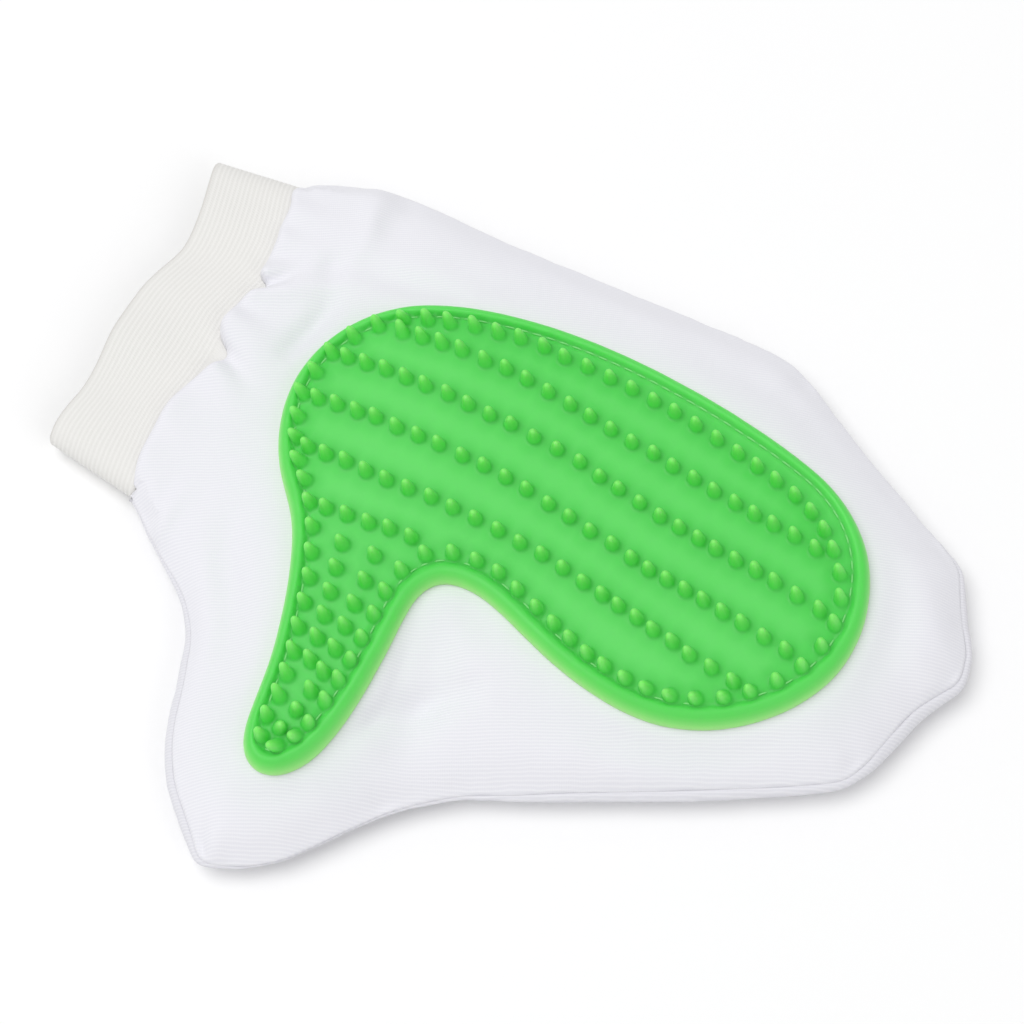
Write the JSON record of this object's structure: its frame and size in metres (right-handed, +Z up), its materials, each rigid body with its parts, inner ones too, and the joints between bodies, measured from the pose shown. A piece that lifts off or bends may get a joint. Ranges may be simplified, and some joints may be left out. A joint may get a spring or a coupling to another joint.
{
  "type": "grooming glove",
  "caption": "Knit fabric mitt with a soft moulded palm pad covered in rounded nubs, a thumb stall and an elastic wrist cuff, for brushing loose hair from pets.",
  "frame": {"origin": "centre of the bounding box on the surface that the back panel lies on", "axes": "+Z up, out of the palm pad; +Y from the cuff to the fingertips; +X towards the thumb"},
  "size_m": [0.1804, 0.2302, 0.027],
  "materials": {
    "knit": "fine ribbed polyester knit, white",
    "elastic": "woven elastic with fine lengthwise ribs, off-white",
    "pad": "soft semi-translucent moulding, satin green",
    "clear_thread": "clear nylon thread that takes the pad's green",
    "white_thread": "white polyester sewing thread"
  },
  "bodies": {
    "mitt": {"palm_panel": "knit", "back_panel": "knit", "grooming_pad": "pad", "pad_stitching": "clear_thread", "side_seam_thread": "white_thread"},
    "cuff": {"elastic_cuff": "elastic", "cuff_seam_thread": "white_thread", "cuff_join_thread": "white_thread"}
  },
  "joints": [
    {"name": "cuff_fold", "type": "hinge", "parent": "mitt", "child": "cuff", "pos_m": [-0.032, -0.0886, 0.0112], "axis": [-1, 0, 0], "range_deg": [0, 45]}
  ]
}
